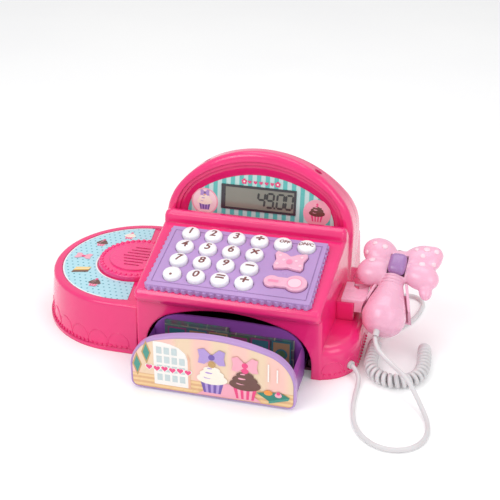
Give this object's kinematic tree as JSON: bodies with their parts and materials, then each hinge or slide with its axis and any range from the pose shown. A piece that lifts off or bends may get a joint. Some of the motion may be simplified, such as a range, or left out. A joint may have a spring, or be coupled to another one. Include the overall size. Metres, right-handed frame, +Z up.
{
  "type": "toy cash register",
  "caption": "Pink toy cash register with a sloping keypad, arched display, open drawer, half-round speaker wing and a corded bow-shaped handset in a side cradle",
  "frame": {"origin": "on the underside of the base plate, at the middle of the console's width and depth", "axes": "+Z up, +X towards the handset side, +Y towards the back; the drawer opens towards -Y"},
  "size_m": [0.3536, 0.2342, 0.1457],
  "materials": {
    "hot_pink_shell": "gloss",
    "pale_pink_plastic": "gloss",
    "pink_speaker": "gloss",
    "lavender_plastic": "satin",
    "purple_plastic": "satin",
    "white_keys": "satin",
    "printed_label": "gloss",
    "black_bezel": "gloss",
    "lcd_glass": "gloss",
    "dark_plastic": "matte",
    "green_board": "matte",
    "silicone": "matte",
    "steel": "satin",
    "battery_metal": "satin",
    "cord_jacket": "satin"
  },
  "bodies": {
    "case": {"front_housing": "hot_pink_shell", "rear_cover": "hot_pink_shell", "base_plate": "dark_plastic", "housing_screws": "steel", "wing_housing": "hot_pink_shell", "wing_floor": "dark_plastic", "wing_label": "printed_label", "speaker_cap": "pink_speaker", "speaker": "dark_plastic", "display_label": "printed_label", "lcd_bezel": "black_bezel", "lcd_window": "lcd_glass", "lcd_module": "lcd_glass", "keypad_plate": "lavender_plastic", "dome_membrane": "silicone", "keypad_board": "green_board", "main_board": "green_board", "battery_box": "dark_plastic", "batteries": "battery_metal", "battery_contacts": "steel", "battery_door": "dark_plastic", "side_bracket": "hot_pink_shell", "handset_cradle": "pale_pink_plastic", "lead_gland": "cord_jacket", "coil_gland": "cord_jacket", "coil_lead": "cord_jacket", "coil_lead_tail": "cord_jacket", "coil_lead_plug": "cord_jacket", "scanner_lead": "cord_jacket"},
    "drawer": {"drawer_tray": "purple_plastic", "drawer_front": "lavender_plastic", "drawer_label": "printed_label", "play_notes": "printed_label"},
    "handset": {"handset_front_shell": "pale_pink_plastic", "handset_rear_shell": "pale_pink_plastic", "handset_board": "green_board", "handset_lens": "lcd_glass", "handset_collar": "cord_jacket"},
    "trigger": {"handset_trigger": "purple_plastic"},
    "key_1_body": {"key_1": "white_keys"},
    "key_2_body": {"key_2": "white_keys"},
    "key_3_body": {"key_3": "white_keys"},
    "key_divide_body": {"key_divide": "white_keys"},
    "key_off_body": {"key_off": "white_keys"},
    "key_on_body": {"key_on": "white_keys"},
    "key_4_body": {"key_4": "white_keys"},
    "key_5_body": {"key_5": "white_keys"},
    "key_6_body": {"key_6": "white_keys"},
    "key_times_body": {"key_times": "white_keys"},
    "key_7_body": {"key_7": "white_keys"},
    "key_8_body": {"key_8": "white_keys"},
    "key_9_body": {"key_9": "white_keys"},
    "key_minus_body": {"key_minus": "white_keys"},
    "key_point_body": {"key_point": "white_keys"},
    "key_0_body": {"key_0": "white_keys"},
    "key_equals_body": {"key_equals": "white_keys"},
    "key_plus_body": {"key_plus": "white_keys"},
    "bow_button_body": {"bow_button": "pale_pink_plastic"},
    "mic_button_body": {"mic_button": "pale_pink_plastic"}
  },
  "joints": [
    {"name": "drawer_slide", "type": "slide", "parent": "case", "child": "drawer", "axis": [0, 1, 0], "range_m": [0, 0.0392]},
    {"name": "handset_lift", "type": "slide", "parent": "case", "child": "handset", "axis": [-0.0499, -0.5276, 0.848], "range_m": [0, 0.03]},
    {"name": "trigger_press", "type": "slide", "parent": "handset", "child": "trigger", "axis": [0.0499, 0.5276, -0.848], "range_m": [0, 0.0022], "stiffness_N_per_m": 200, "springref_m": -0.0005},
    {"name": "key_1_press", "type": "slide", "parent": "case", "child": "key_1_body", "axis": [0, 0.1942, -0.981], "range_m": [0, 0.002], "stiffness_N_per_m": 200, "springref_m": -0.0005},
    {"name": "key_2_press", "type": "slide", "parent": "case", "child": "key_2_body", "axis": [0, 0.1942, -0.981], "range_m": [0, 0.002], "stiffness_N_per_m": 200, "springref_m": -0.0005},
    {"name": "key_3_press", "type": "slide", "parent": "case", "child": "key_3_body", "axis": [0, 0.1942, -0.981], "range_m": [0, 0.002], "stiffness_N_per_m": 200, "springref_m": -0.0005},
    {"name": "key_divide_press", "type": "slide", "parent": "case", "child": "key_divide_body", "axis": [0, 0.1942, -0.981], "range_m": [0, 0.002], "stiffness_N_per_m": 200, "springref_m": -0.0005},
    {"name": "key_off_press", "type": "slide", "parent": "case", "child": "key_off_body", "axis": [0, 0.1942, -0.981], "range_m": [0, 0.002], "stiffness_N_per_m": 200, "springref_m": -0.0005},
    {"name": "key_on_press", "type": "slide", "parent": "case", "child": "key_on_body", "axis": [0, 0.1942, -0.981], "range_m": [0, 0.002], "stiffness_N_per_m": 200, "springref_m": -0.0005},
    {"name": "key_4_press", "type": "slide", "parent": "case", "child": "key_4_body", "axis": [0, 0.1942, -0.981], "range_m": [0, 0.002], "stiffness_N_per_m": 200, "springref_m": -0.0005},
    {"name": "key_5_press", "type": "slide", "parent": "case", "child": "key_5_body", "axis": [0, 0.1942, -0.981], "range_m": [0, 0.002], "stiffness_N_per_m": 200, "springref_m": -0.0005},
    {"name": "key_6_press", "type": "slide", "parent": "case", "child": "key_6_body", "axis": [0, 0.1942, -0.981], "range_m": [0, 0.002], "stiffness_N_per_m": 200, "springref_m": -0.0005},
    {"name": "key_times_press", "type": "slide", "parent": "case", "child": "key_times_body", "axis": [0, 0.1942, -0.981], "range_m": [0, 0.002], "stiffness_N_per_m": 200, "springref_m": -0.0005},
    {"name": "key_7_press", "type": "slide", "parent": "case", "child": "key_7_body", "axis": [0, 0.1942, -0.981], "range_m": [0, 0.002], "stiffness_N_per_m": 200, "springref_m": -0.0005},
    {"name": "key_8_press", "type": "slide", "parent": "case", "child": "key_8_body", "axis": [0, 0.1942, -0.981], "range_m": [0, 0.002], "stiffness_N_per_m": 200, "springref_m": -0.0005},
    {"name": "key_9_press", "type": "slide", "parent": "case", "child": "key_9_body", "axis": [0, 0.1942, -0.981], "range_m": [0, 0.002], "stiffness_N_per_m": 200, "springref_m": -0.0005},
    {"name": "key_minus_press", "type": "slide", "parent": "case", "child": "key_minus_body", "axis": [0, 0.1942, -0.981], "range_m": [0, 0.002], "stiffness_N_per_m": 200, "springref_m": -0.0005},
    {"name": "key_point_press", "type": "slide", "parent": "case", "child": "key_point_body", "axis": [0, 0.1942, -0.981], "range_m": [0, 0.002], "stiffness_N_per_m": 200, "springref_m": -0.0005},
    {"name": "key_0_press", "type": "slide", "parent": "case", "child": "key_0_body", "axis": [0, 0.1942, -0.981], "range_m": [0, 0.002], "stiffness_N_per_m": 200, "springref_m": -0.0005},
    {"name": "key_equals_press", "type": "slide", "parent": "case", "child": "key_equals_body", "axis": [0, 0.1942, -0.981], "range_m": [0, 0.002], "stiffness_N_per_m": 200, "springref_m": -0.0005},
    {"name": "key_plus_press", "type": "slide", "parent": "case", "child": "key_plus_body", "axis": [0, 0.1942, -0.981], "range_m": [0, 0.002], "stiffness_N_per_m": 200, "springref_m": -0.0005},
    {"name": "bow_button_press", "type": "slide", "parent": "case", "child": "bow_button_body", "axis": [0, 0.1942, -0.981], "range_m": [0, 0.002], "stiffness_N_per_m": 200, "springref_m": -0.0005},
    {"name": "mic_button_press", "type": "slide", "parent": "case", "child": "mic_button_body", "axis": [0, 0.1942, -0.981], "range_m": [0, 0.002], "stiffness_N_per_m": 200, "springref_m": -0.0005}
  ]
}
